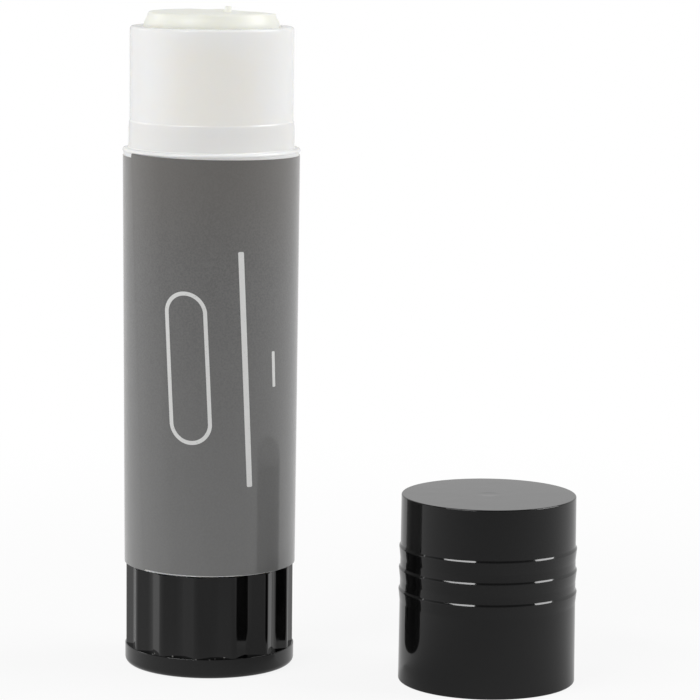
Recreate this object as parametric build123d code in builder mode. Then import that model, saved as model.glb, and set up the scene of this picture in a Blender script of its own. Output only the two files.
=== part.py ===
"""Twist-up glue stick, standing open, with its cap standing mouth down beside it.

Millimetres, +Z up. The origin is the centre of the stick's base on the table. The viewer
looks along +Y, so azimuths are counted from -Y towards +X.
"""

from build123d import *
from math import cos, pi, radians, sin
import os

# Glue
glue_radius = 10.1
glue_extension = 2.3
glue_tip_inset = 0.5
glue_crown = 0.25
glue_edge_round = 0.3
glue_retracted_depth = 1.0
spindle_bore_gap = 0.4
nib_root_radius = 0.7
nib_tip_radius = 0.36
nib_height = 1.15
nib_offset = 2.3
nib_lean_degrees = 24.0

# Barrel
bore_gap = 0.3
neck_wall = 1.95
seal_step = 0.2
seal_height = 4.2
seal_edge_round = 0.12
shoulder_width = 0.95
shoulder_chamfer = 0.35
collar_height = 1.1
neck_height = 18.2
rim_outer_round = 0.4
rim_inner_round = 0.2
barrel_taper = 0.33
barrel_foot_wall = 1.74
guide_rib_count = 4
guide_rib_width = 1.2
guide_rib_height = 0.6
guide_rib_top_margin = 4.7
guide_rib_azimuth = 45.0
guide_clearance = 0.25

# Label
label_thickness = 0.1
label_recess = 0.15
label_length = 62.75
label_foot_margin = 0.05
label_skew = 0.3
label_overlap = 5.0
seam_azimuth = -57.5
seam_lean = 3.0

# Knob
knob_height = 15.1
flange_inset = 0.07
flange_height = 3.1
flange_foot_round = 0.9
flange_top_round = 0.2
flute_count = 14
flute_crest_inset = 0.15
flute_depth = 1.05
flute_crest_round = 0.4
flute_valley_round = 0.9
first_crest_azimuth = -8.9
knob_gap = 0.2
spin_clearance = 0.08
spigot_wall = 1.1
spigot_height = 4.4
spigot_end_gap = 0.3
snap_proud = 0.3
snap_width = 1.4
snap_crest_width = 0.6
snap_height_above_knob = 1.7
snap_end_gap = 0.15
base_recess = 1.0
base_ring_width = 2.2
knob_floor = 1.6
boss_radius = 4.6
boss_height = 10.4
web_count = 6
web_width = 1.0
web_height = 7.5

# Spindle
spindle_core_radius = 2.3
thread_depth = 0.9
thread_lead = 5.0
thread_root_width = 2.0
thread_crest_width = 1.3
thread_runout = 0.5
hex_across_flats = 5.4
hex_socket_floor = 1.0
spindle_shoulder_radius = 4.2
spindle_shoulder_height = 1.2
thread_start_gap = 1.8
tip_chamfer = 0.5
thread_root_overlap = 0.25

# Carrier
carrier_gap = 0.15
cup_wall = 1.5
cup_height = 8.0
cup_floor = 1.4
nut_wall = 1.2
nut_length = 5.4
carrier_foot_gap = 0.5
nut_clearance = 0.2
fin_count = 4
fin_width = 0.8
fin_height = 4.0
travel_rim_margin = 2.2

# Cap
cap_height = 28.2
cap_clearance = 0.08
cap_wall = 0.74
cap_taper = 0.2
cap_ceiling = 1.3
cap_edge_round = 0.35
cap_mouth_round = 0.25
cap_seal_gap = 0.1
cap_seal_wall = 1.0
cap_seal_inset = 0.45
ring_count = 3
ring_proud = 0.2
ring_pitch = 3.3
ring_top_height = 20.2
ring_upper_slope = 0.35
ring_lower_slope = 1.8
gate_radius = 1.6
gate_depth = 0.12
cap_place_x = 42.0
cap_place_y = -12.25

# Radii that follow from the glue outwards
bore_radius = glue_radius + bore_gap
neck_radius = bore_radius + neck_wall
seal_radius = neck_radius + seal_step
collar_radius = seal_radius + shoulder_width
body_top_radius = collar_radius - label_recess
body_foot_radius = body_top_radius - barrel_taper
counterbore_radius = body_foot_radius - barrel_foot_wall
spigot_radius = counterbore_radius - spin_clearance
knob_bore_radius = spigot_radius - spigot_wall
flange_radius = body_foot_radius - flange_inset
flute_crest_radius = flange_radius - flute_crest_inset
spindle_crest_radius = spindle_core_radius + thread_depth
carrier_radius = bore_radius - carrier_gap
cup_radius = carrier_radius - cup_wall
nut_radius = spindle_crest_radius + nut_clearance + nut_wall
glue_bore_radius = spindle_crest_radius + spindle_bore_gap
cap_bore_radius = seal_radius + cap_clearance
cap_mouth_radius = cap_bore_radius + cap_wall
cap_top_radius = cap_mouth_radius - cap_taper

# Heights above the table
barrel_foot = knob_height + knob_gap
label_foot = barrel_foot + label_foot_margin
label_top = label_foot + label_length + label_skew
shoulder_height = label_top + collar_height
seal_top = shoulder_height + seal_height
rim_height = shoulder_height + neck_height
spigot_top = knob_height + spigot_height
counterbore_top = spigot_top + spigot_end_gap
glue_top = rim_height + glue_extension
carrier_drop = glue_extension + glue_retracted_depth
carrier_foot = counterbore_top + carrier_drop + carrier_foot_gap
glue_foot = carrier_foot + cup_floor
cup_top = carrier_foot + cup_height
nut_top = carrier_foot + nut_length
carrier_rise = rim_height - travel_rim_margin - cup_top
guide_rib_top = rim_height - guide_rib_top_margin
floor_top = base_recess + knob_floor
boss_top = floor_top + boss_height
socket_floor = floor_top + hex_socket_floor
spindle_shoulder_top = boss_top + spindle_shoulder_height
thread_foot = spindle_shoulder_top + thread_start_gap
spindle_top = nut_top + carrier_rise + thread_runout
glue_bore_top = spindle_top + carrier_drop + spindle_bore_gap

# One overrun serves every cut that has to pass a face
overrun = 1.0


def at_azimuth(radius, azimuth, height):
    """A point at an azimuth counted from -Y towards +X."""
    return (radius * sin(radians(azimuth)), -radius * cos(radians(azimuth)), height)


def body_radius(height):
    """Outer radius of the barrel's tapered body at a height."""
    share = (height - barrel_foot) / (label_top - barrel_foot)
    return body_foot_radius + barrel_taper * share


# Barrel: one turned tube with a neck, and ribs inside that keep the carrier from turning
snap_centre = knob_height + snap_height_above_knob
snap_groove_half = snap_width / 2 + snap_end_gap
snap_groove_crest_half = snap_crest_width / 2 + snap_end_gap
snap_groove_radius = spigot_radius + snap_proud + spin_clearance

with BuildPart() as guide_rib:
    with BuildSketch(Plane.XZ) as rib_side:
        with BuildLine():
            Polyline(
                (bore_radius - guide_rib_height, counterbore_top),
                (bore_radius - guide_rib_height, guide_rib_top - guide_rib_height),
                (bore_radius, guide_rib_top),
                (bore_radius + guide_rib_height, guide_rib_top),
                (bore_radius + guide_rib_height, counterbore_top),
                close=True,
            )
        make_face()
    extrude(amount=guide_rib_width / 2, both=True)

with BuildPart() as barrel:
    with BuildSketch(Plane.XZ) as wall:
        with BuildLine():
            Polyline(
                (counterbore_radius, barrel_foot),
                (body_foot_radius, barrel_foot),
                (body_top_radius, label_top),
                (collar_radius, label_top),
                (collar_radius, shoulder_height - shoulder_chamfer),
                (collar_radius - shoulder_chamfer, shoulder_height),
                (seal_radius, shoulder_height),
                (seal_radius, seal_top),
                (neck_radius, seal_top),
                (neck_radius, rim_height),
                (bore_radius, rim_height),
                (bore_radius, counterbore_top),
                (counterbore_radius, counterbore_top),
                (counterbore_radius, snap_centre + snap_groove_half),
                (snap_groove_radius, snap_centre + snap_groove_crest_half),
                (snap_groove_radius, snap_centre - snap_groove_crest_half),
                (counterbore_radius, snap_centre - snap_groove_half),
                close=True,
            )
        make_face()
        rim_corners = wall.vertices().filter_by_position(Axis.Y, rim_height, rim_height)
        fillet(rim_corners.sort_by(Axis.X)[-1], rim_outer_round)
        rim_corners = wall.vertices().filter_by_position(Axis.Y, rim_height, rim_height)
        fillet(rim_corners.sort_by(Axis.X)[0], rim_inner_round)
        seal_corners = wall.vertices().filter_by_position(Axis.Y, seal_top, seal_top)
        fillet(seal_corners.sort_by(Axis.X)[-1], seal_edge_round)
    revolve(axis=Axis.Z)
    with PolarLocations(0, guide_rib_count, start_angle=guide_rib_azimuth):
        add(guide_rib.part)

# Label: one wrap of film on the tapered body, and the end that overlaps at the seam
label_main_top = label_top - label_skew

with BuildPart() as overlap_band:
    with BuildSketch(Plane.XZ):
        with BuildLine():
            Polyline(
                (body_radius(label_foot + label_skew) + label_thickness, label_foot + label_skew),
                (body_radius(label_top) + label_thickness, label_top),
                (body_radius(label_top) + 2 * label_thickness, label_top),
                (body_radius(label_foot + label_skew) + 2 * label_thickness, label_foot + label_skew),
                close=True,
            )
        make_face()
    revolve(axis=Axis.Z)
    seam_plane = Plane(
        origin=(0, 0, (label_foot + label_top) / 2),
        x_dir=(cos(radians(seam_azimuth)), sin(radians(seam_azimuth)), 0),
        z_dir=at_azimuth(1, seam_azimuth, 0),
    )
    with BuildSketch(seam_plane):
        with BuildLine():
            Polyline(
                (seam_lean / 2, -label_length / 2 - overrun),
                (seam_lean / 2 + label_overlap, -label_length / 2 - overrun),
                (-seam_lean / 2 + label_overlap, label_length / 2 + overrun),
                (-seam_lean / 2, label_length / 2 + overrun),
                close=True,
            )
        make_face()
    extrude(amount=collar_radius + overrun, mode=Mode.INTERSECT)

with BuildPart() as label:
    with BuildSketch(Plane.XZ):
        with BuildLine():
            Polyline(
                (body_radius(label_foot), label_foot),
                (body_radius(label_foot) + label_thickness, label_foot),
                (body_radius(label_main_top) + label_thickness, label_main_top),
                (body_radius(label_main_top), label_main_top),
                close=True,
            )
        make_face()
    revolve(axis=Axis.Z)
    add(overlap_band.part)

# Knob: a moulded cup with a fluted grip, a flange to stand on and a spigot that snaps in
base_ring_radius = flange_radius - flange_foot_round - base_ring_width
flute_points = []
for corner in range(2 * flute_count):
    azimuth = first_crest_azimuth + corner * 180 / flute_count
    radius = flute_crest_radius - flute_depth * (corner % 2)
    flute_points.append(at_azimuth(radius, azimuth, 0)[:2])
flute_middle_radius = flute_crest_radius - flute_depth / 2

with BuildPart() as knob:
    with BuildSketch(Plane.XY.offset(flange_height)) as grip:
        with BuildLine():
            Polyline(*flute_points, close=True)
        make_face()
        crests = grip.vertices().filter_by(lambda v: Vector(v.X, v.Y).length > flute_middle_radius)
        fillet(crests, flute_crest_round)
        inner_radius_limit = flute_crest_radius - 3 * flute_depth / 4
        valleys = grip.vertices().filter_by(lambda v: Vector(v.X, v.Y).length < inner_radius_limit)
        fillet(valleys, flute_valley_round)
    extrude(amount=knob_height - flange_height)
    with BuildSketch(Plane.XZ) as base:
        with BuildLine():
            Polyline(
                (0, base_recess),
                (base_ring_radius, base_recess),
                (base_ring_radius, 0),
                (flange_radius, 0),
                (flange_radius, flange_height),
                (0, flange_height),
                close=True,
            )
        make_face()
        foot_corner = base.vertices().group_by(Axis.X)[-1].sort_by(Axis.Y)[0]
        fillet(foot_corner, flange_foot_round)
        top_corner = base.vertices().group_by(Axis.X)[-1].sort_by(Axis.Y)[-1]
        fillet(top_corner, flange_top_round)
    revolve(axis=Axis.Z)
    with BuildSketch(Plane.XZ):
        with BuildLine():
            Polyline(
                (knob_bore_radius, flange_height),
                (spigot_radius, flange_height),
                (spigot_radius, snap_centre - snap_width / 2),
                (spigot_radius + snap_proud, snap_centre - snap_crest_width / 2),
                (spigot_radius + snap_proud, snap_centre + snap_crest_width / 2),
                (spigot_radius, snap_centre + snap_width / 2),
                (spigot_radius, spigot_top),
                (knob_bore_radius, spigot_top),
                close=True,
            )
        make_face()
    revolve(axis=Axis.Z)
    with BuildSketch(Plane.XY.offset(floor_top)):
        Circle(knob_bore_radius)
    extrude(amount=spigot_top - floor_top, mode=Mode.SUBTRACT)
    with BuildSketch(Plane.XY.offset(floor_top)):
        Circle(boss_radius)
    extrude(amount=boss_height)
    web_length = knob_bore_radius + spigot_wall / 2
    with BuildSketch(Plane.XY.offset(floor_top)):
        with PolarLocations(web_length / 2, web_count):
            Rectangle(web_length, web_width)
    extrude(amount=web_height)
    with BuildSketch(Plane.XY.offset(socket_floor)):
        RegularPolygon(hex_across_flats / 2, 6, major_radius=False)
    extrude(amount=boss_top - socket_floor, mode=Mode.SUBTRACT)


# Screw: the same left-hand helix makes the ridge on the spindle and the groove in the nut
def thread_section(clearance, foot):
    """Trapezoid section of the ridge, square to the helix where it starts."""
    start = Vector(spindle_core_radius, 0, foot)
    rise = thread_lead / (2 * pi * spindle_core_radius)
    with BuildSketch(Plane(origin=start, x_dir=(1, 0, 0), z_dir=(0, -1, rise))) as section:
        with BuildLine():
            Polyline(
                (-thread_root_overlap, -thread_root_width / 2 - clearance),
                (thread_depth + clearance, -thread_crest_width / 2 - clearance),
                (thread_depth + clearance, thread_crest_width / 2 + clearance),
                (-thread_root_overlap, thread_root_width / 2 + clearance),
                close=True,
            )
        make_face()
    return section.sketch


def thread_path(foot, length):
    """Left-hand helix along the spindle's core."""
    return Helix(
        pitch=thread_lead,
        height=length,
        radius=spindle_core_radius,
        center=(0, 0, foot),
        lefthand=True,
    )


with BuildPart() as spindle:
    with BuildSketch(Plane.XY.offset(socket_floor)):
        RegularPolygon(hex_across_flats / 2, 6, major_radius=False)
    extrude(amount=boss_top - socket_floor)
    with BuildSketch(Plane.XY.offset(boss_top)):
        Circle(spindle_shoulder_radius)
    extrude(amount=spindle_shoulder_height)
    with BuildSketch(Plane.XY.offset(spindle_shoulder_top)):
        Circle(spindle_core_radius)
    extrude(amount=spindle_top - spindle_shoulder_top)
    chamfer(spindle.faces().sort_by(Axis.Z)[-1].edges(), tip_chamfer)
    thread_length = spindle_top - tip_chamfer - thread_root_width - thread_foot
    sweep(
        sections=thread_section(0, thread_foot),
        path=thread_path(thread_foot, thread_length),
        is_frenet=True,
    )

# Carrier: a cup that holds the foot of the glue, with the nut in its middle
turns_below_nut = int((carrier_foot - thread_foot) / thread_lead) - 1
nut_thread_foot = thread_foot + turns_below_nut * thread_lead
nut_thread_length = nut_top + thread_lead - nut_thread_foot
guide_notch_radius = bore_radius - guide_rib_height - guide_clearance
guide_notch_width = guide_rib_width + 2 * guide_clearance
fin_azimuth = guide_rib_azimuth + 180 / guide_rib_count

with BuildPart() as fins:
    with BuildSketch(Plane.XY.offset(glue_foot)):
        with PolarLocations((nut_radius + cup_radius) / 2, fin_count, start_angle=fin_azimuth):
            Rectangle(cup_radius - nut_radius + cup_wall, fin_width)
    extrude(amount=fin_height)

with BuildPart() as carrier:
    with BuildSketch(Plane.XY.offset(carrier_foot)):
        Circle(carrier_radius)
    extrude(amount=cup_height)
    with BuildSketch(Plane.XY.offset(glue_foot)):
        Circle(cup_radius)
    extrude(amount=cup_height - cup_floor, mode=Mode.SUBTRACT)
    with BuildSketch(Plane.XY.offset(carrier_foot)):
        Circle(nut_radius)
    extrude(amount=nut_length)
    add(fins.part)
    with BuildSketch(Plane.XY.offset(carrier_foot)):
        with PolarLocations(
            guide_notch_radius + carrier_radius / 2, guide_rib_count, start_angle=guide_rib_azimuth
        ):
            Rectangle(carrier_radius, guide_notch_width)
    extrude(amount=cup_height, mode=Mode.SUBTRACT)
    sweep(
        sections=thread_section(nut_clearance, nut_thread_foot),
        path=thread_path(nut_thread_foot, nut_thread_length),
        is_frenet=True,
        mode=Mode.SUBTRACT,
    )
    with BuildSketch(Plane.XY.offset(carrier_foot)):
        Circle(spindle_core_radius + nut_clearance)
    extrude(amount=nut_length, mode=Mode.SUBTRACT)

# Glue: cast in the cup and the bore, so it takes the shape of the fins, the nut and the ribs
glue_tip_radius = glue_radius - glue_tip_inset
glue_shoulder_height = glue_top - glue_crown
notch_top = guide_rib_top + carrier_drop + spindle_bore_gap

with BuildPart() as nib:
    nib_foot = Plane(
        origin=(nib_offset, 0, glue_shoulder_height),
        x_dir=(0, -1, 0),
        z_dir=(sin(radians(nib_lean_degrees)), 0, cos(radians(nib_lean_degrees))),
    )
    with BuildSketch(nib_foot):
        Circle(nib_root_radius)
    with BuildSketch(nib_foot.offset(nib_height)):
        Circle(nib_tip_radius)
    loft()
    fillet(nib.faces().sort_by(Axis.Z)[-1].edges(), nib_tip_radius / 2)

with BuildPart() as glue:
    with BuildSketch(Plane.XZ) as glue_section:
        with BuildLine():
            crown = TangentArc(
                (0, glue_top), (glue_tip_radius, glue_shoulder_height), tangent=(1, 0)
            )
            Polyline(
                crown @ 1,
                (glue_radius, rim_height),
                (glue_radius, cup_top),
                (cup_radius, cup_top),
                (cup_radius, glue_foot),
                (nut_radius, glue_foot),
                (nut_radius, nut_top),
                (glue_bore_radius, nut_top),
                (glue_bore_radius, glue_bore_top),
                (0, glue_bore_top),
                crown @ 0,
            )
        make_face()
        tip_corner = glue_section.vertices().filter_by_position(
            Axis.Y, glue_shoulder_height, glue_shoulder_height
        )
        fillet(tip_corner, glue_edge_round)
    revolve(axis=Axis.Z)
    add(nib.part)
    add(fins.part, mode=Mode.SUBTRACT)
    with BuildSketch(Plane.XY.offset(cup_top)):
        with PolarLocations(
            guide_notch_radius + glue_radius / 2, guide_rib_count, start_angle=guide_rib_azimuth
        ):
            Rectangle(glue_radius, guide_notch_width)
    extrude(amount=notch_top - cup_top, mode=Mode.SUBTRACT)

# Cap: a thin cup with grip rings outside and a seal ring inside that meets the neck's rim
cap_inner_top = cap_height - cap_ceiling
cap_closed_depth = neck_height + cap_seal_gap
seal_ring_outer = neck_radius - cap_seal_inset
seal_ring_inner = seal_ring_outer - cap_seal_wall
cap_upper_radius = cap_top_radius - cap_wall
cap_plane = Plane(origin=(cap_place_x, cap_place_y, 0), x_dir=(1, 0, 0), z_dir=(0, -1, 0))
cap_axis = Axis((cap_place_x, cap_place_y, 0), (0, 0, 1))


def cap_radius(height):
    """Outer radius of the cap's drafted wall at a height."""
    return cap_mouth_radius - cap_taper * height / cap_height


ring_points = []
for ring in reversed(range(ring_count)):
    ring_top = ring_top_height - ring * ring_pitch
    ring_crest = ring_top - ring_upper_slope
    ring_foot = ring_crest - ring_lower_slope
    ring_points.append((cap_radius(ring_foot), ring_foot))
    ring_points.append((cap_radius(ring_crest) + ring_proud, ring_crest))
    ring_points.append((cap_radius(ring_top), ring_top))

with BuildPart() as cap:
    with BuildSketch(cap_plane) as cap_section:
        with BuildLine():
            Polyline(
                (cap_bore_radius, 0),
                (cap_mouth_radius, 0),
                *ring_points,
                (cap_top_radius, cap_height),
                (gate_radius, cap_height),
                (gate_radius, cap_height - gate_depth),
                (0, cap_height - gate_depth),
                (0, cap_inner_top),
                (seal_ring_inner, cap_inner_top),
                (seal_ring_inner, cap_closed_depth),
                (seal_ring_outer, cap_closed_depth),
                (seal_ring_outer, cap_inner_top),
                (cap_upper_radius, cap_inner_top),
                (cap_upper_radius, cap_closed_depth),
                (cap_bore_radius, cap_closed_depth),
                close=True,
            )
        make_face()
        top_edge = cap_section.vertices().filter_by(
            lambda v: v.Y > cap_height - gate_depth / 2 and v.X > gate_radius + overrun
        )
        fillet(top_edge, cap_edge_round)
        mouth_edge = cap_section.vertices().filter_by(
            lambda v: v.Y < overrun and v.X > cap_mouth_radius - cap_wall / 2
        )
        fillet(mouth_edge, cap_mouth_round)
    revolve(axis=cap_axis)

pieces = {
    "barrel": barrel,
    "label": label,
    "knob": knob,
    "spindle": spindle,
    "carrier": carrier,
    "glue": glue,
    "cap": cap,
}
os.makedirs("parts", exist_ok=True)
for name, piece in pieces.items():
    piece.part.label = name
    export_step(piece.part, f"parts/{name}.step")
    print(name, piece.part.is_valid, round(piece.part.volume, 1))
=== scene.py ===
"""The looks of a twist-up glue stick that stands open beside its cap.

Metres, +Z up. The stick's axis is the Z axis, and the camera stands at -Y. Azimuths are counted
from -Y towards +X, so azimuth 0 faces the camera.
"""

import bmesh
import bpy
from math import atan2, cos, degrees, hypot, pi, radians, sin, tan
from mathutils import Matrix, Vector


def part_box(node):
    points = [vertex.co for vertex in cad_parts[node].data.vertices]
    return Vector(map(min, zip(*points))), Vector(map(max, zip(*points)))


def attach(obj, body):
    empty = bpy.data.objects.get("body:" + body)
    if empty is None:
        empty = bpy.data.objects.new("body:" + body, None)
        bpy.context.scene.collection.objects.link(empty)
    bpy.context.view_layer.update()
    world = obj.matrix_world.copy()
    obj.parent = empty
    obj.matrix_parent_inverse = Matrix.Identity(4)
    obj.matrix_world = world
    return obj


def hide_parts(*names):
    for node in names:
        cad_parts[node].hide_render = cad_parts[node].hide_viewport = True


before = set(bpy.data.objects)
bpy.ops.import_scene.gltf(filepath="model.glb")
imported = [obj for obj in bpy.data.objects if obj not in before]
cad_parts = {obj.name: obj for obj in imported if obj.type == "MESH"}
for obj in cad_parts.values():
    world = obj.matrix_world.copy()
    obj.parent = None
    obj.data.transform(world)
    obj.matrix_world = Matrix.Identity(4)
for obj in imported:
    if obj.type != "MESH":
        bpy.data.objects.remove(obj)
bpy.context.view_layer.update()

MM = 0.001

# Places read from the frame
knob_low, knob_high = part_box("knob")
glue_low, glue_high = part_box("glue")
carrier_low, carrier_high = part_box("carrier")
cap_low, cap_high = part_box("cap")

# Barrel
rim_height = 97.85 * MM
barrel_foot = 15.8 * MM
neck_height = 18.3 * MM
shoulder_height = rim_height - neck_height
seal_top = shoulder_height + 4.0 * MM
collar_foot = 79.05 * MM
collar_radius = 13.49 * MM
seal_radius = collar_radius - 0.9 * MM
neck_radius = seal_radius - 0.18 * MM
step_radius = seal_radius - 0.08 * MM
step_foot = seal_top - 0.05 * MM
step_top = seal_top + 0.15 * MM
bore_radius = 10.4 * MM
body_top_radius = collar_radius - 0.15 * MM
body_foot_radius = body_top_radius - 0.33 * MM
spigot_bore_radius = 11.28 * MM
spigot_bore_top = knob_high.z + 0.3 * MM
rib_count = 4
rib_azimuth = 45
rib_width = 1.2 * MM
rib_height = 0.6 * MM
rib_top = rim_height - 4.7 * MM
rib_clearance = 0.25 * MM

# Label
film_thickness = 0.1 * MM
film_overlap = 5.0 * MM
print_thickness = 0.02 * MM
film_foot = 15.85 * MM
film_length = 62.55 * MM
seam_azimuth = -56.0
seam_lean = 3.0 * MM

# Knob
flange_radius = body_foot_radius - 0.02 * MM
flange_height = 3.05 * MM
grip_top = barrel_foot - 0.2 * MM
snap_height = grip_top + 1.7 * MM
snap_rise = 0.3 * MM
spigot_radius = spigot_bore_radius - 0.08 * MM
flute_count = 14
crest_radius = flange_radius
valley_radius = crest_radius - 1.05 * MM
first_crest_azimuth = -8.9

# Glue
glue_radius = 10.1 * MM
tip_radius = glue_radius - 0.5 * MM
tip_height = rim_height + 2.3 * MM
glue_bore_top = 97.1 * MM
cup_radius = carrier_high.x - 1.5 * MM
glue_bore_radius = 3.6 * MM
nut_radius = 4.6 * MM
nut_top = carrier_low.z + 5.4 * MM

# Cap
cap_centre = ((cap_low.x + cap_high.x) / 2, (cap_low.y + cap_high.y) / 2)
cap_height = 28.5 * MM
cap_bore_radius = seal_radius + 0.08 * MM
cap_mouth_radius = cap_bore_radius + 0.7 * MM
cap_top_radius = cap_mouth_radius - 0.2 * MM
ring_count = 3
ring_pitch = 3.3 * MM
ring_top = 20.95 * MM
ring_rise = 0.21 * MM

# How fine the round pieces are, and how near a corner has to be to count as found
round_steps = 192
near = 0.02 * MM


def deselect_all():
    bpy.ops.object.select_all(action="DESELECT")


def make_active(piece):
    """Selects one piece alone."""
    deselect_all()
    piece.select_set(True)
    bpy.context.view_layer.objects.active = piece


def name_new(name):
    """Names the primitive that was just added and puts its place in its mesh."""
    piece = bpy.context.object
    piece.name = name
    piece.data.name = name
    bpy.ops.object.transform_apply(location=True, rotation=True, scale=True)
    return piece


def edit(piece):
    make_active(piece)
    bpy.ops.object.mode_set(mode="EDIT")


def leave_edit():
    bpy.ops.object.mode_set(mode="OBJECT")


def pick(piece, test, kind="EDGE"):
    """In edit mode, selects only the edges, faces or corners that lie where the test says."""
    bpy.ops.mesh.select_mode(type=kind)
    bpy.ops.mesh.select_all(action="DESELECT")
    mesh = bmesh.from_edit_mesh(piece.data)
    items = {"VERT": mesh.verts, "EDGE": mesh.edges, "FACE": mesh.faces}[kind]
    for item in items:
        corners = [item] if kind == "VERT" else item.verts
        if all(test(corner.co) for corner in corners):
            item.select_set(True)
    bmesh.update_edit_mesh(piece.data)


def on_ring(radius, height, centre=(0, 0)):
    """A test for corners on a ring round an upright axis."""
    def test(corner):
        reach = hypot(corner.x - centre[0], corner.y - centre[1])
        return abs(reach - radius) < near and abs(corner.z - height) < near
    return test


def close_ring():
    """Draws the selected ring together into a point."""
    bpy.ops.mesh.extrude_edges_move()
    bpy.ops.mesh.merge(type="CENTER")


def turned(name, outline, centre=(0, 0), steps=round_steps):
    """Draws a ring up an outline of radii and heights. An end on the axis closes to a point, and
    an outline that comes back to its start closes to a tube."""
    opens_on_axis = outline[0][0] == 0
    closes_on_axis = outline[-1][0] == 0
    rings = [point for point in outline if point[0] > 0]
    deselect_all()
    bpy.ops.mesh.primitive_circle_add(
        vertices=steps, radius=rings[0][0], fill_type="NOTHING", location=(*centre, rings[0][1])
    )
    piece = name_new(name)
    edit(piece)
    if opens_on_axis:
        close_ring()
        pick(piece, on_ring(*rings[0], centre))
    for (radius, height), (next_radius, next_height) in zip(rings, rings[1:]):
        bpy.ops.mesh.extrude_edges_move(
            TRANSFORM_OT_translate={"value": (0, 0, next_height - height)}
        )
        share = next_radius / radius
        bpy.ops.transform.resize(
            value=(share, share, 1), center_override=(*centre, next_height)
        )
    if closes_on_axis:
        close_ring()
    bpy.ops.mesh.select_all(action="SELECT")
    bpy.ops.mesh.remove_doubles(threshold=near / 4)
    bpy.ops.mesh.normals_make_consistent(inside=False)
    return piece


def round_ring(piece, radius, height, size, centre=(0, 0), segments=4):
    """Rounds the edge on one ring of a turned piece."""
    pick(piece, on_ring(radius, height, centre))
    bpy.ops.mesh.bevel(offset=size, segments=segments, affect="EDGES")


def smooth(piece, angle=32):
    """Shades a finished piece smooth, with its corners sharp and its flats flat."""
    make_active(piece)
    bpy.ops.object.shade_smooth_by_angle(angle=radians(angle))
    flats = piece.modifiers.new("flats", "WEIGHTED_NORMAL")
    flats.keep_sharp = True
    bpy.ops.object.modifier_apply(modifier=flats.name)


def block(name, low, high, azimuth=0):
    """A tool in the shape of a box, turned about the Z axis, for a union or a cut."""
    deselect_all()
    centre = [(a + b) / 2 for a, b in zip(low, high)]
    bpy.ops.mesh.primitive_cube_add(size=1, location=centre)
    bpy.context.object.scale = [b - a for a, b in zip(low, high)]
    tool = name_new(name)
    tool.rotation_euler.z = radians(azimuth)
    make_active(tool)
    bpy.ops.object.transform_apply(location=True, rotation=True, scale=True)
    return tool


def combine(piece, tool, operation):
    """Joins a tool to a piece or cuts it out of it."""
    make_active(piece)
    step = piece.modifiers.new(operation.lower(), "BOOLEAN")
    step.object = tool
    step.operation = operation
    step.solver = "EXACT"
    bpy.ops.object.modifier_apply(modifier=step.name)
    bpy.data.objects.remove(tool)


def make_barrel():
    """The white tube: tapered body, collar, shoulder, sealing band and neck, with ribs inside."""
    groove_radius = spigot_bore_radius + snap_rise
    piece = turned(
        "barrel_tube",
        [
            (body_foot_radius, barrel_foot),
            (body_top_radius, collar_foot),
            (collar_radius, collar_foot),
            (collar_radius, shoulder_height),
            (seal_radius, shoulder_height),
            (seal_radius, seal_top - 1.2 * MM),
            (step_radius, step_foot),
            (neck_radius, step_top),
            (neck_radius, rim_height),
            (bore_radius, rim_height),
            (bore_radius, spigot_bore_top),
            (spigot_bore_radius, spigot_bore_top),
            (spigot_bore_radius, snap_height + 0.85 * MM),
            (groove_radius, snap_height + 0.45 * MM),
            (groove_radius, snap_height - 0.45 * MM),
            (spigot_bore_radius, snap_height - 0.85 * MM),
            (spigot_bore_radius, barrel_foot),
            (body_foot_radius, barrel_foot),
        ],
    )
    round_ring(piece, neck_radius, rim_height, 0.42 * MM, segments=8)
    round_ring(piece, bore_radius, rim_height, 0.2 * MM, segments=5)
    round_ring(piece, step_radius, step_foot, 0.07 * MM, segments=5)
    round_ring(piece, neck_radius, step_top, 0.07 * MM, segments=5)
    round_ring(piece, seal_radius, shoulder_height, 0.15 * MM, segments=4)
    round_ring(piece, collar_radius, shoulder_height, 0.36 * MM, segments=7)
    round_ring(piece, collar_radius, collar_foot, 0.05 * MM, segments=3)
    round_ring(piece, body_foot_radius, barrel_foot, 0.1 * MM, segments=3)
    leave_edit()
    for number in range(rib_count):
        rib = block(
            "rib",
            (bore_radius - rib_height, -rib_width / 2, spigot_bore_top + near),
            (bore_radius + rib_height, rib_width / 2, rib_top),
            rib_azimuth + number * 360 / rib_count,
        )
        edit(rib)

        def on_inner_top(corner):
            return corner.z > rib_top - near and hypot(corner.x, corner.y) < bore_radius

        pick(rib, on_inner_top)
        bpy.ops.mesh.bevel(offset=rib_height * 0.95, segments=1, affect="EDGES")
        leave_edit()
        combine(piece, rib, "UNION")
    smooth(piece)
    return piece


def body_radius_at(height):
    """Outer radius of the barrel's tapered body."""
    share = (height - barrel_foot) / (collar_foot - barrel_foot)
    return body_foot_radius + (body_top_radius - body_foot_radius) * share


def on_film(along, up, out=0):
    """Rolls a place on the flat film on to the body. The outer end of the wrap starts at 0 along,
    where the film stands a little higher than further round, and laps over the inner end."""
    turn = 2 * pi * body_top_radius
    left = max(0, 1 - along / turn)
    lean = seam_lean * (0.5 - up / film_length)
    azimuth = radians(seam_azimuth) + (along + lean) / body_top_radius
    tucked = min(max((along - turn) / (0.4 * MM), 0), 1)
    foot_rise = 0.3 * MM * left ** 7 + 0.4 * MM * tucked
    top_rise = 0.65 * MM * left ** 3.4
    height = film_foot + up + foot_rise + (top_rise - foot_rise) * up / film_length
    lap = min(max((1.6 * film_overlap - along) / (0.6 * film_overlap), 0), 1)
    lap = lap * lap * (3 - 2 * lap)
    lift = max(0, 1 - along / (0.5 * MM)) * 0.02 * MM
    radius = body_radius_at(height) + lap * 0.12 * MM + lift + out
    return radius * sin(azimuth), -radius * cos(azimuth), height


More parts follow.
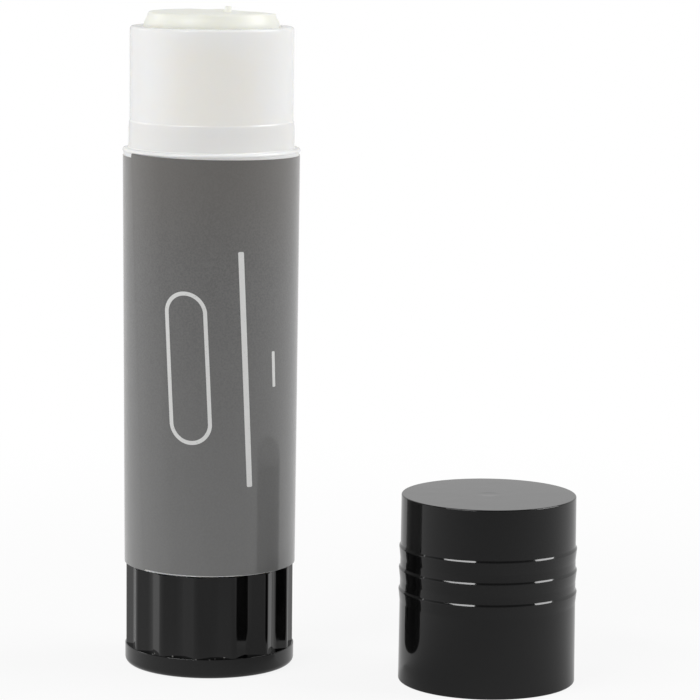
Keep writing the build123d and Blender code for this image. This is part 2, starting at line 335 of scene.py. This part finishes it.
def roll_on(piece, thickness, out=0):
    """Rolls a flat piece on to the body and gives it its thickness."""
    for corner in piece.data.vertices:
        corner.co = on_film(corner.co.x, corner.co.y, out)
    make_active(piece)
    wall = piece.modifiers.new("film", "SOLIDIFY")
    wall.thickness = thickness
    wall.offset = 1
    bpy.ops.object.modifier_apply(modifier=wall.name)
    smooth(piece, 40)


def make_label():
    """One sheet of film rolled round the body."""
    width = 2 * pi * body_top_radius + film_overlap
    deselect_all()
    bpy.ops.mesh.primitive_grid_add(x_subdivisions=280, y_subdivisions=60, size=1)
    bpy.context.object.scale = (width, film_length, 1)
    bpy.context.object.location = (width / 2, film_length / 2, 0)
    piece = name_new("label_wrap")
    edit(piece)
    pick(piece, lambda corner: corner.x < near and corner.y > film_length - near, "VERT")
    bpy.ops.mesh.bevel(offset=0.6 * MM, segments=2, affect="VERTICES")
    leave_edit()
    roll_on(piece, film_thickness)
    return piece


def make_print_frame(name, along, up, wide, tall, stroke):
    """An upright frame with round ends, printed on the film round a middle place."""
    outer = wide / 2
    deselect_all()
    bpy.ops.mesh.primitive_circle_add(vertices=64, radius=outer, fill_type="NOTHING")
    piece = name_new(name)
    edit(piece)
    bpy.ops.mesh.select_all(action="SELECT")
    bpy.ops.mesh.extrude_edges_move()
    share = (outer - stroke) / outer
    bpy.ops.transform.resize(value=(share, share, 1), center_override=(0, 0, 0))
    pick(piece, lambda corner: corner.y > near, "VERT")
    bpy.ops.transform.translate(value=(0, tall / 2 - outer, 0))
    pick(piece, lambda corner: corner.y < -near, "VERT")
    bpy.ops.transform.translate(value=(0, outer - tall / 2, 0))
    bpy.ops.mesh.select_all(action="SELECT")
    bpy.ops.transform.translate(value=(along, up, 0))
    bpy.ops.mesh.normals_make_consistent(inside=False)
    leave_edit()
    roll_on(piece, print_thickness, film_thickness)
    return piece


def make_print_bar(name, along, up, wide, tall):
    """A plain upright bar printed on the film, with rounded corners."""
    deselect_all()
    bpy.ops.mesh.primitive_grid_add(x_subdivisions=3, y_subdivisions=12, size=1)
    bpy.context.object.scale = (wide, tall, 1)
    piece = name_new(name)
    edit(piece)

    def on_corner(corner):
        return abs(corner.x) > wide / 2 - near and abs(corner.y) > tall / 2 - near

    pick(piece, on_corner, "VERT")
    bpy.ops.mesh.bevel(offset=0.25 * wide, segments=4, affect="VERTICES")
    bpy.ops.mesh.select_all(action="SELECT")
    bpy.ops.transform.translate(value=(along, up, 0))
    leave_edit()
    roll_on(piece, print_thickness, film_thickness)
    return piece


def make_knob():
    """The twist knob: a flange to stand on, a fluted grip, and the spigot for the barrel."""
    recess = 1.0 * MM
    floor = recess + 1.6 * MM
    boss_radius = 4.6 * MM
    boss_top = floor + 10.4 * MM
    inner_radius = spigot_radius - 1.1 * MM
    ring_radius = flange_radius - 3.1 * MM
    snap_radius = spigot_radius + snap_rise
    piece = turned(
        "knob_grip",
        [
            (0, recess),
            (ring_radius, recess),
            (ring_radius, 0),
            (flange_radius, 0),
            (flange_radius, flange_height),
            (spigot_radius, flange_height),
            (spigot_radius, snap_height - 0.7 * MM),
            (snap_radius, snap_height - 0.3 * MM),
            (snap_radius, snap_height + 0.3 * MM),
            (spigot_radius, snap_height + 0.7 * MM),
            (spigot_radius, knob_high.z),
            (inner_radius, knob_high.z),
            (inner_radius, floor),
            (boss_radius, floor),
            (boss_radius, boss_top),
            (0, boss_top),
        ],
        steps=flute_count * 14,
    )
    round_ring(piece, flange_radius, 0, 0.9 * MM, segments=10)
    round_ring(piece, flange_radius, flange_height, 0.12 * MM, segments=4)
    round_ring(piece, ring_radius, 0, 0.25 * MM, segments=4)
    leave_edit()
    for number in range(6):
        web = block(
            "web",
            (boss_radius - 0.5 * MM, -0.5 * MM, floor - 0.1 * MM),
            (inner_radius + 0.5 * MM, 0.5 * MM, floor + 7.5 * MM),
            number * 60,
        )
        combine(piece, web, "UNION")
    deselect_all()
    socket_foot = floor + 1.0 * MM
    bpy.ops.mesh.primitive_cylinder_add(
        vertices=6,
        radius=2.7 * MM / cos(radians(30)),
        depth=boss_top - socket_foot + 2 * MM,
        location=(0, 0, (boss_top + socket_foot) / 2 + 1 * MM),
        rotation=(0, 0, radians(30)),
    )
    combine(piece, name_new("socket"), "DIFFERENCE")
    deselect_all()
    bpy.ops.mesh.primitive_circle_add(
        vertices=2 * flute_count,
        radius=crest_radius,
        fill_type="NGON",
        location=(0, 0, flange_height - 0.2 * MM),
        rotation=(0, 0, radians(first_crest_azimuth - 90)),
    )
    grip = name_new("grip")
    first = radians(first_crest_azimuth)
    edit(grip)
    step = pi / flute_count

    def is_valley(corner):
        turn = (atan2(corner.x, -corner.y) - first) / step
        return round(turn) % 2 == 1

    pick(grip, is_valley, "VERT")
    share = valley_radius / crest_radius
    bpy.ops.transform.resize(value=(share, share, 1), center_override=(0, 0, 0))
    bpy.ops.mesh.bevel(offset=0.64 * MM, segments=7, affect="VERTICES")
    pick(grip, lambda corner: hypot(corner.x, corner.y) > crest_radius - near, "VERT")
    bpy.ops.mesh.bevel(offset=0.56 * MM, segments=8, affect="VERTICES")
    bpy.ops.mesh.select_all(action="SELECT")
    bpy.ops.mesh.extrude_region_move(
        TRANSFORM_OT_translate={"value": (0, 0, grip_top - flange_height + 0.2 * MM)}
    )
    pick(grip, lambda corner: corner.z < flange_height)
    bpy.ops.mesh.edge_face_add()
    pick(grip, lambda corner: corner.z > grip_top - near)
    bpy.ops.mesh.bevel(offset=0.12 * MM, segments=3, affect="EDGES")
    bpy.ops.mesh.select_all(action="SELECT")
    bpy.ops.mesh.normals_make_consistent(inside=False)
    leave_edit()
    combine(piece, grip, "UNION")
    smooth(piece, 28)
    return piece


def make_cap():
    """The cap, mouth down: grip rings and a gate mark outside, a seal ring under its ceiling."""
    ceiling = cap_height - 1.3 * MM
    closed_depth = neck_height + 0.1 * MM
    upper_radius = cap_top_radius - 0.78 * MM
    seal_outer = neck_radius - 0.45 * MM
    seal_inner = seal_outer - 1.0 * MM
    gate_radius = 1.6 * MM
    dish_radius = gate_radius - 0.7 * MM
    gate_depth = 0.02 * MM

    def wall_radius(height):
        return cap_mouth_radius - (cap_mouth_radius - cap_top_radius) * height / cap_height

    rings = []
    for number in reversed(range(ring_count)):
        top = ring_top - number * ring_pitch
        crest = top - 0.36 * MM
        foot = crest - 1.8 * MM
        rings.append((wall_radius(foot), foot))
        rings.append((wall_radius(crest) + ring_rise, crest))
        rings.append((wall_radius(top), top))
    piece = turned(
        "cap_shell",
        [
            (0, ceiling),
            (seal_inner, ceiling),
            (seal_inner, closed_depth),
            (seal_outer, closed_depth),
            (seal_outer, ceiling),
            (upper_radius, ceiling),
            (upper_radius, closed_depth),
            (cap_bore_radius, closed_depth),
            (cap_bore_radius, 0),
            (cap_mouth_radius, 0),
            *rings,
            (cap_top_radius, cap_height),
            (gate_radius, cap_height),
            (dish_radius, cap_height - gate_depth),
            (0, cap_height - gate_depth),
        ],
        centre=cap_centre,
    )
    for radius, height in rings:
        round_ring(piece, radius, height, 0.1 * MM, cap_centre, segments=5)
    round_ring(piece, cap_top_radius, cap_height, 0.2 * MM, cap_centre, segments=6)
    round_ring(piece, cap_mouth_radius, 0, 0.25 * MM, cap_centre, segments=6)
    round_ring(piece, cap_bore_radius, 0, 0.1 * MM, cap_centre, segments=3)
    round_ring(piece, gate_radius, cap_height, 0.25 * MM, cap_centre, segments=5)
    leave_edit()
    smooth(piece)
    return piece


def sculpt(piece, x, y, rise, reach):
    """Lifts the corner of the top nearest to a place, and its neighbours in a soft fall-off."""
    bpy.ops.mesh.select_mode(type="VERT")
    bpy.ops.mesh.select_all(action="DESELECT")
    mesh = bmesh.from_edit_mesh(piece.data)
    place = Vector((x, y, tip_height))
    nearest = min(mesh.verts, key=lambda corner: (corner.co - place).length)
    nearest.select_set(True)
    bmesh.update_edit_mesh(piece.data)
    bpy.ops.transform.translate(
        value=(0, 0, rise),
        use_proportional_edit=True,
        use_proportional_connected=True,
        proportional_edit_falloff="SMOOTH",
        proportional_size=reach,
    )


def make_glue():
    """The stick of glue: an uneven tip with a torn nib, and grooves cast by the ribs and fins."""
    foot = glue_low.z
    cup_top = carrier_high.z
    crown = 0.1 * MM
    top_rings = 24
    shoulder = tip_height - crown
    piece = turned(
        "glue_stick",
        [
            (0, glue_bore_top),
            (glue_bore_radius, glue_bore_top),
            (glue_bore_radius, nut_top),
            (nut_radius, nut_top),
            (nut_radius, foot),
            (cup_radius, foot),
            (cup_radius, cup_top),
            (glue_radius, cup_top),
            (glue_radius, rim_height - 3.0 * MM),
            (glue_radius + 0.18 * MM, rim_height - 1.4 * MM),
            (glue_radius + 0.25 * MM, rim_height - 0.6 * MM),
            (glue_radius + 0.23 * MM, rim_height - 0.1 * MM),
            (glue_radius + 0.18 * MM, rim_height + 0.3 * MM),
            (glue_radius + 0.08 * MM, rim_height + 0.7 * MM),
            (glue_radius - 0.14 * MM, rim_height + 1.15 * MM),
            (glue_radius - 0.3 * MM, rim_height + 1.5 * MM),
            (glue_radius - 0.4 * MM, rim_height + 1.85 * MM),
            (tip_radius, shoulder),
            *[
                (tip_radius * share, shoulder + crown * (1 - share ** 2))
                for share in (1 - n / top_rings for n in range(1, top_rings))
            ],
            (0, tip_height),
        ],
    )
    round_ring(piece, tip_radius, shoulder, 0.36 * MM, segments=8)
    for x, y, rise, reach in (
        (6.0, 2.5, -0.42, 9.5),
        (5.0, 8.0, -0.12, 4.0),
        (-0.7, 8.2, -0.13, 2.6),
        (-5.5, -4.0, -0.1, 3.6),
        (-3.4, 6.5, 0.06, 3.0),
        (1.3, 0.2, 0.12, 1.4),
        (4.2, 5.0, -0.08, 2.2),
        (-7.2, 1.5, 0.05, 2.4),
    ):
        sculpt(piece, x * MM, y * MM, rise * MM, reach * MM)
    leave_edit()
    nib_top = glue_high.z - 0.01 * MM
    nib = turned(
        "nib",
        [
            (0, tip_height - 1.0 * MM),
            (1.0 * MM, tip_height - 1.0 * MM),
            (1.0 * MM, tip_height - 0.4 * MM),
            (0.74 * MM, tip_height - 0.1 * MM),
            (0.6 * MM, tip_height + 0.1 * MM),
            (0.53 * MM, tip_height + 0.3 * MM),
            (0.5 * MM, nib_top - 0.2 * MM),
            (0.4 * MM, nib_top - 0.07 * MM),
            (0.24 * MM, nib_top - 0.02 * MM),
            (0, nib_top),
        ],
        centre=(2.3 * MM, 0),
        steps=40,
    )
    pick(nib, lambda corner: corner.z > tip_height + 0.2 * MM, "VERT")
    bpy.ops.transform.translate(value=(0.14 * MM, 0, 0))
    leave_edit()
    combine(piece, nib, "UNION")
    for number in range(rib_count):
        groove = block(
            "groove",
            (bore_radius - rib_height - rib_clearance, -rib_width / 2 - rib_clearance, cup_top),
            (glue_radius + 1 * MM, rib_width / 2 + rib_clearance, rib_top + 3.7 * MM),
            rib_azimuth + number * 360 / rib_count,
        )
        combine(piece, groove, "DIFFERENCE")
        fin = block(
            "fin",
            (nut_radius - 0.3 * MM, -0.4 * MM, foot - 1 * MM),
            (cup_radius + 1 * MM, 0.4 * MM, foot + 4 * MM),
            number * 90,
        )
        combine(piece, fin, "DIFFERENCE")
    smooth(piece, 50)
    return piece


def place_piece(piece, body, slot, *nodes):
    """A finished piece rides on its body and stands for its nodes, which it hides. Its slot is not
    used.
    """
    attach(piece, body)
    if nodes:
        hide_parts(*nodes)


barrel_tube = make_barrel()
place_piece(barrel_tube, "barrel", "white_translucent", "barrel")
label_wrap = make_label()
place_piece(label_wrap, "barrel", "grey_film", "label")
print_marks = [
    make_print_frame("print_frame", 9.6 * MM, 31.4 * MM, 6.6 * MM, 23.0 * MM, 0.6 * MM),
    make_print_bar("print_bar", 18.4 * MM, 31.2 * MM, 0.9 * MM, 35.5 * MM),
    make_print_bar("print_dash", 23.6 * MM, 31.0 * MM, 0.6 * MM, 5.4 * MM),
]
for mark in print_marks:
    place_piece(mark, "barrel", "white_translucent")
knob_grip = make_knob()
place_piece(knob_grip, "knob", "black_gloss", "knob")
glue_stick = make_glue()
place_piece(glue_stick, "carrier", "glue_mass", "glue")
cap_shell = make_cap()
place_piece(cap_shell, "cap", "black_gloss", "cap")

# Camera, as the photograph was taken: its place, where it looks, its roll and its lens
camera_place = Vector((0, -512.85, 122.79)) * MM
camera_pitch = radians(8.228)
camera_yaw = radians(2.381)
camera_roll = radians(0.595)
frame_pixels = 700
focal_pixels = 3386.08


def make_camera():
    data = bpy.data.cameras.new("camera")
    data.sensor_width = 36
    data.lens = data.sensor_width * focal_pixels / frame_pixels
    data.clip_start = 0.01
    data.clip_end = 50
    camera = bpy.data.objects.new("camera", data)
    bpy.context.scene.collection.objects.link(camera)
    ahead = Vector((
        sin(camera_yaw) * cos(camera_pitch), cos(camera_yaw) * cos(camera_pitch), -sin(camera_pitch)
    ))
    level = Vector((cos(camera_yaw), -sin(camera_yaw), 0))
    upright = level.cross(ahead)
    across = level * cos(camera_roll) + upright * sin(camera_roll)
    up = upright * cos(camera_roll) - level * sin(camera_roll)
    turn = Matrix((across, up, -ahead)).transposed()
    camera.matrix_world = Matrix.Translation(camera_place) @ turn.to_4x4()
    bpy.context.scene.camera = camera


make_camera()


def add_node(tree, kind, inputs=None, **settings):
    """Adds a shader node, sets its options, and links or fills its inputs."""
    made = tree.nodes.new(kind)
    for name, value in settings.items():
        setattr(made, name, value)
    for socket, value in (inputs or {}).items():
        if isinstance(value, bpy.types.NodeSocket):
            tree.links.new(value, made.inputs[socket])
        else:
            made.inputs[socket].default_value = value
    return made


def calculate(tree, operation, *values, clamp=False):
    """One Math node. A value is a number or another node's output."""
    inputs = dict(enumerate(values))
    return add_node(tree, "ShaderNodeMath", inputs, operation=operation, use_clamp=clamp).outputs[0]


def spread(tree, value, low, high, to_low=0, to_high=1, smooth_ends=True):
    """Maps a value from one range to another, and holds it at the ends."""
    inputs = {
        "Value": value, "From Min": low, "From Max": high, "To Min": to_low, "To Max": to_high
    }
    kind = "SMOOTHSTEP" if smooth_ends else "LINEAR"
    return add_node(tree, "ShaderNodeMapRange", inputs, interpolation_type=kind).outputs[0]


def object_place(tree):
    """Place on the piece in metres."""
    return add_node(tree, "ShaderNodeTexCoord").outputs["Object"]


def axes_of(tree, place):
    split = add_node(tree, "ShaderNodeSeparateXYZ", {0: place})
    return split.outputs["X"], split.outputs["Y"], split.outputs["Z"]


def shown_rays(tree):
    """1 for the rays that look at the background: camera and transmission. The second is glossy."""
    path = add_node(tree, "ShaderNodeLightPath")
    camera, through = path.outputs["Is Camera Ray"], path.outputs["Is Transmission Ray"]
    return calculate(tree, "MAXIMUM", camera, through), path.outputs["Is Glossy Ray"]


# Studio: how bright the surroundings are in front of the object, beside it and behind it
front_level = 0.38
back_level = 0.74
side_turn = 0.17
ceiling_share = 0.25


def surroundings(tree, back):
    """Brightness round the object by the direction's share towards the back, from -1 to 1."""
    return spread(tree, back, -1, side_turn, front_level, back_level, smooth_ends=False)


def make_floor():
    """White paper that keeps a soft shadow near the object and is plain white further out."""
    deselect_all()
    bpy.ops.mesh.primitive_plane_add(size=6, location=(0, 0, -0.03 * MM))
    floor = name_new("floor")
    made = bpy.data.materials.new("white_floor")
    made.use_nodes = True
    tree = made.node_tree
    shader = tree.nodes["Principled BSDF"]
    shader.inputs["Base Color"].default_value = (0.82, 0.82, 0.82, 1)
    shader.inputs["Roughness"].default_value = 0.9
    shader.inputs["Specular IOR Level"].default_value = 0
    middle = (0.021, -0.006, 0)
    from_middle = add_node(
        tree, "ShaderNodeVectorMath", {0: object_place(tree), 1: middle}, operation="SUBTRACT"
    ).outputs[0]
    distance = add_node(tree, "ShaderNodeVectorMath", {0: from_middle}, operation="LENGTH")
    direction = add_node(tree, "ShaderNodeVectorMath", {0: from_middle}, operation="NORMALIZE")
    back = axes_of(tree, direction.outputs[0])[1]
    seen, glossy = shown_rays(tree)
    strength = add_node(
        tree, "ShaderNodeMix", {"Factor": glossy, "A": 1, "B": surroundings(tree, back)}
    ).outputs[0]
    glow = add_node(tree, "ShaderNodeEmission", {"Strength": strength}).outputs[0]
    white = spread(tree, distance.outputs["Value"], 0.04, 0.22, 0.88, 1)
    share = calculate(tree, "MULTIPLY", calculate(tree, "MAXIMUM", seen, glossy), white)
    mix = add_node(tree, "ShaderNodeMixShader", {0: share, 1: shader.outputs[0], 2: glow})
    tree.links.new(mix.outputs[0], tree.nodes["Material Output"].inputs["Surface"])
    floor.data.materials.append(made)


make_floor()


def make_world():
    """Pale surroundings: darker behind the camera and overhead, white for the camera itself."""
    world = bpy.data.worlds.new("studio")
    bpy.context.scene.world = world
    world.use_nodes = True
    tree = world.node_tree
    direction = add_node(tree, "ShaderNodeTexCoord").outputs["Generated"]
    x, back, up = axes_of(tree, direction)
    ceiling = spread(tree, up, 0.3, 0.65, 1, ceiling_share)
    lit = calculate(tree, "MULTIPLY", surroundings(tree, back), ceiling)
    seen = shown_rays(tree)[0]
    strength = add_node(tree, "ShaderNodeMix", {"Factor": seen, "A": lit, "B": 1}).outputs[0]
    background = tree.nodes["Background"]
    tree.links.new(strength, background.inputs["Strength"])
    background.inputs["Color"].default_value = (1, 1, 1, 1)


make_world()


def make_softbox(name, azimuth, elevation, wide, tall, radiance, distance=1.2):
    """A soft light that faces the stick and fills a window of the sky of the given degrees."""
    data = bpy.data.lights.new(name, "AREA")
    data.shape = "RECTANGLE"
    data.size = 2 * distance * tan(radians(wide / 2))
    data.size_y = 2 * distance * tan(radians(tall / 2))
    data.energy = radiance * pi * data.size * data.size_y
    lamp = bpy.data.objects.new(name, data)
    bpy.context.scene.collection.objects.link(lamp)
    target = Vector((15, 0, 50)) * MM
    away = Vector((
        sin(radians(azimuth)) * cos(radians(elevation)),
        -cos(radians(azimuth)) * cos(radians(elevation)),
        sin(radians(elevation)),
    ))
    lamp.location = target + away * distance
    lamp.rotation_euler = away.to_track_quat("Z", "Y").to_euler()


make_softbox("left_softbox", azimuth=-47, elevation=44, wide=37, tall=12, radiance=10.6)
make_softbox("right_softbox", azimuth=88, elevation=31, wide=36, tall=14, radiance=9.2)
make_softbox("left_edge_light", azimuth=-110, elevation=22, wide=16, tall=16, radiance=4.5)
make_softbox("right_edge_light", azimuth=112, elevation=52, wide=16, tall=16, radiance=3.6)

bpy.context.scene.view_settings.view_transform = "Standard"


def new_material(name, roughness, **plain):
    """A material with its shader. Its plain values go on the shader's own sockets."""
    made = bpy.data.materials.new(name)
    made.use_nodes = True
    tree = made.node_tree
    shader = tree.nodes["Principled BSDF"]
    shader.inputs["Roughness"].default_value = roughness
    for socket, value in plain.items():
        shader.inputs[socket.replace("_", " ")].default_value = value
    return made, tree, shader


def grain(tree, place, size, detail=2, roughness=0.5):
    """Noise from 0 to 1 whose patches are about the given size across."""
    inputs = {"Vector": place, "Scale": 1 / size, "Detail": detail, "Roughness": roughness}
    return add_node(tree, "ShaderNodeTexNoise", inputs).outputs[0]


def blend(tree, first, first_share, second, second_share):
    """Adds two values in the given shares."""
    scaled = calculate(tree, "MULTIPLY", first, first_share)
    return calculate(tree, "MULTIPLY_ADD", second, second_share, scaled)


def tint(tree, share, first, second):
    """Mixes two colours, or the outputs of two nodes, by a share."""
    mix = add_node(tree, "ShaderNodeMix", data_type="RGBA")
    for socket, value in ((0, share), (6, first), (7, second)):
        if isinstance(value, bpy.types.NodeSocket):
            tree.links.new(value, mix.inputs[socket])
        else:
            mix.inputs[socket].default_value = (*value, 1) if socket else value
    return mix.outputs[2]


def relief(tree, shader, height, depth):
    """Bump from a height between 0 and 1, at the real depth."""
    bump = add_node(tree, "ShaderNodeBump", {"Height": height, "Distance": depth, "Strength": 1})
    tree.links.new(bump.outputs[0], shader.inputs["Normal"])


def uneven_roughness(tree, shader, noise, smoothest, roughest):
    """Lets the roughness wander between two values."""
    wander = spread(tree, noise, 0.3, 0.7, smoothest, roughest)
    tree.links.new(wander, shader.inputs["Roughness"])


def specks(tree, place, spacing, size, share):
    """1 inside a few round specks: one cell in so many has one, all of about one size."""
    cells = add_node(tree, "ShaderNodeTexVoronoi", {"Vector": place, "Scale": 1 / spacing})
    inside = spread(tree, cells.outputs["Distance"], size / spacing, 0.7 * size / spacing)
    split = add_node(tree, "ShaderNodeSeparateColor", {0: cells.outputs["Color"]})
    chosen = calculate(tree, "LESS_THAN", split.outputs[0], share)
    return calculate(tree, "MULTIPLY", inside, chosen)


def azimuth_of(tree, place):
    """Azimuth in degrees round the Z axis, from -Y towards +X."""
    x, y, z = axes_of(tree, place)
    turn = calculate(tree, "ARCTAN2", x, calculate(tree, "MULTIPLY", y, -1))
    return calculate(tree, "MULTIPLY", turn, degrees(1))


def window(tree, value, low, high, soft):
    """1 between two values, and 0 outside, with soft edges."""
    rise = spread(tree, value, low - soft, low + soft)
    fall = spread(tree, value, high - soft, high + soft, 1, 0)
    return calculate(tree, "MULTIPLY", rise, fall)


def white_plastic_material():
    """Frosted polypropylene, a little see-through. The glue's warm colour is painted in as painted
    light where it shows through the wall, most on the side that faces the camera. Greyer on the
    thicker sealing band."""
    made, tree, shader = new_material("frosted_white_plastic", 0.24, IOR=1.49)
    place = object_place(tree)
    x, y, z = axes_of(tree, place)
    azimuth = azimuth_of(tree, place)
    patches = grain(tree, place, 9 * MM, detail=3)
    # Painted light: the glue's warm colour seen through the wall, painted on the side facing the
    # camera and in patches round the neck below the rim
    front = window(tree, azimuth, -34, 40, 18)
    painted_see_through_front = calculate(tree, "MULTIPLY", front, window(tree, z, 82 * MM, 96 * MM, 3 * MM))
    painted_see_through_front = calculate(tree, "MULTIPLY", painted_see_through_front, spread(tree, patches, 0.35, 0.6, 0.7, 1))
    painted_see_through_round = spread(tree, patches, 0.5, 0.68, 0, 0.4)
    neck_only = spread(tree, z, seal_top - 1 * MM, seal_top + 3 * MM)
    below_rim = spread(tree, z, rim_height - 4 * MM, rim_height - 1.5 * MM, 1, 0)
    painted_see_through_round = calculate(tree, "MULTIPLY", painted_see_through_round, neck_only)
    painted_see_through_round = calculate(tree, "MULTIPLY", painted_see_through_round, below_rim)
    # warm is the painted see-through tint of the glue behind the wall
    warm = calculate(tree, "MAXIMUM", painted_see_through_front, painted_see_through_round)
    color = tint(tree, warm, (0.94, 0.94, 0.928), (0.948, 0.92, 0.868))
    band = window(tree, z, shoulder_height + 0.2 * MM, seal_top + 0.05 * MM, 0.1 * MM)
    color = tint(tree, band, color, (0.875, 0.87, 0.855))
    dust = specks(tree, place, 7 * MM, 0.16 * MM, 0.12)
    color = tint(tree, calculate(tree, "MULTIPLY", dust, 0.5), color, (0.35, 0.31, 0.27))
    tree.links.new(color, shader.inputs["Base Color"])
    shader.inputs["Subsurface Weight"].default_value = 0.35
    shader.inputs["Subsurface Radius"].default_value = (1, 0.9, 0.75)
    shader.inputs["Subsurface Scale"].default_value = 1.2 * MM
    uneven_roughness(tree, shader, grain(tree, place, 3 * MM), 0.21, 0.265)
    relief(tree, shader, grain(tree, place, 0.5 * MM), 0.004 * MM)
    return made


def film_material():
    """Grey film under a clear gloss: fine grain in the print, warmer near the top, and painted
    light that makes it paler towards the foot.
    """
    made, tree, shader = new_material(
        "grey_label_film", 0.4, IOR=1.5, Coat_Weight=1, Coat_Roughness=0.05
    )
    place = object_place(tree)
    x, y, z = axes_of(tree, place)
    fine = grain(tree, place, 0.26 * MM, detail=1)
    cloud = grain(tree, place, 3.5 * MM, detail=2)
    mottle = blend(tree, fine, 0.85, cloud, 0.15)
    color = tint(tree, spread(tree, mottle, 0.3, 0.7), (0.11, 0.109, 0.107), (0.148, 0.147, 0.145))
    warm = spread(tree, z, collar_foot - 22 * MM, collar_foot, 0, 0.75)
    color = tint(tree, warm, color, (0.136, 0.128, 0.118))
    # Painted light: the film is painted paler towards its foot, as if more light reaches it there
    lower = spread(tree, z, film_foot, collar_foot, 1, 0)
    pale = tint(tree, mottle, (0.142, 0.142, 0.14), (0.176, 0.176, 0.174))
    color = tint(tree, lower, color, pale)
    tree.links.new(color, shader.inputs["Base Color"])
    uneven_roughness(tree, shader, cloud, 0.38, 0.43)
    ripple = blend(tree, grain(tree, place, 7 * MM, detail=1), 1, fine, 0.06)
    relief(tree, shader, ripple, 0.01 * MM)
    return made


def gloss_black_material():
    """Polished black moulding with faint swirls and a few pale specks of dust."""
    made, tree, shader = new_material("gloss_black_plastic", 0.07, IOR=1.5)
    place = object_place(tree)
    dust = specks(tree, place, 6 * MM, 0.13 * MM, 0.1)
    azimuth = azimuth_of(tree, place)
    x, y, z = axes_of(tree, place)
    joint = window(tree, z, flange_height, flange_height + 0.2 * MM, 0.06 * MM)
    joint = calculate(tree, "MULTIPLY", joint, window(tree, azimuth, -46, 22, 6))
    flakes = calculate(tree, "MULTIPLY", specks(tree, place, 0.7 * MM, 0.16 * MM, 0.4), joint)
    dust = calculate(tree, "MAXIMUM", dust, flakes)
    color = tint(tree, dust, (0.003, 0.003, 0.0031), (0.32, 0.31, 0.3))
    tree.links.new(color, shader.inputs["Base Color"])
    scuff = spread(tree, grain(tree, place, 2.2 * MM, detail=4), 0.45, 0.75, 0.05, 0.12)
    tree.links.new(blend(tree, scuff, 1, dust, 0.5), shader.inputs["Roughness"])
    relief(tree, shader, grain(tree, place, 4 * MM, detail=1), 0.012 * MM)
    return made


def glue_material():
    """Waxy, see-through glue: pale yellow-green with a few beige patches near the rim."""
    made, tree, shader = new_material("pale_glue", 0.3, IOR=1.45)
    place = object_place(tree)
    x, y, z = axes_of(tree, place)
    patches = spread(tree, grain(tree, place, 5 * MM, detail=3), 0.5, 0.66)
    near_rim = window(tree, z, rim_height - 1.5 * MM, rim_height + 0.4 * MM, 0.8 * MM)
    beige = calculate(tree, "MULTIPLY", patches, near_rim)
    color = tint(tree, beige, (0.915, 0.922, 0.84), (0.9, 0.87, 0.75))
    tree.links.new(color, shader.inputs["Base Color"])
    shader.inputs["Subsurface Weight"].default_value = 0.5
    shader.inputs["Subsurface Radius"].default_value = (1, 0.95, 0.7)
    shader.inputs["Subsurface Scale"].default_value = 2 * MM
    uneven_roughness(tree, shader, grain(tree, place, 1.5 * MM), 0.3, 0.4)
    relief(tree, shader, grain(tree, place, 3 * MM, detail=1), 0.012 * MM)
    return made


def print_material():
    """White ink, a little worn, so the grey film shows through in fine grains."""
    made, tree, shader = new_material("white_ink", 0.32, IOR=1.5)
    place = object_place(tree)
    worn = spread(tree, grain(tree, place, 0.25 * MM, detail=3), 0.6, 0.75, 0, 0.35)
    color = tint(tree, worn, (0.74, 0.74, 0.73), (0.3, 0.3, 0.29))
    tree.links.new(color, shader.inputs["Base Color"])
    uneven_roughness(tree, shader, grain(tree, place, 1 * MM), 0.3, 0.38)
    return made


def natural_plastic_material():
    """Plain white moulding of the lift and the screw inside, with a satin face."""
    made, tree, shader = new_material("natural_white_plastic", 0.4, IOR=1.49)
    place = object_place(tree)
    color = tint(tree, grain(tree, place, 4 * MM, detail=2), (0.78, 0.78, 0.76), (0.84, 0.84, 0.82))
    tree.links.new(color, shader.inputs["Base Color"])
    uneven_roughness(tree, shader, grain(tree, place, 1 * MM), 0.34, 0.46)
    relief(tree, shader, grain(tree, place, 0.4 * MM), 0.003 * MM)
    return made


white_plastic = white_plastic_material()
film = film_material()
black_plastic = gloss_black_material()
glue_wax = glue_material()
natural_plastic = natural_plastic_material()
white_ink = print_material()
for piece, finish in (
    (barrel_tube, white_plastic),
    (label_wrap, film),
    (knob_grip, black_plastic),
    (cap_shell, black_plastic),
    (glue_stick, glue_wax),
    (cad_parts["spindle"], natural_plastic),
    (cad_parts["carrier"], natural_plastic),
    *[(mark, white_ink) for mark in print_marks],
):
    piece.data.materials.clear()
    piece.data.materials.append(finish)
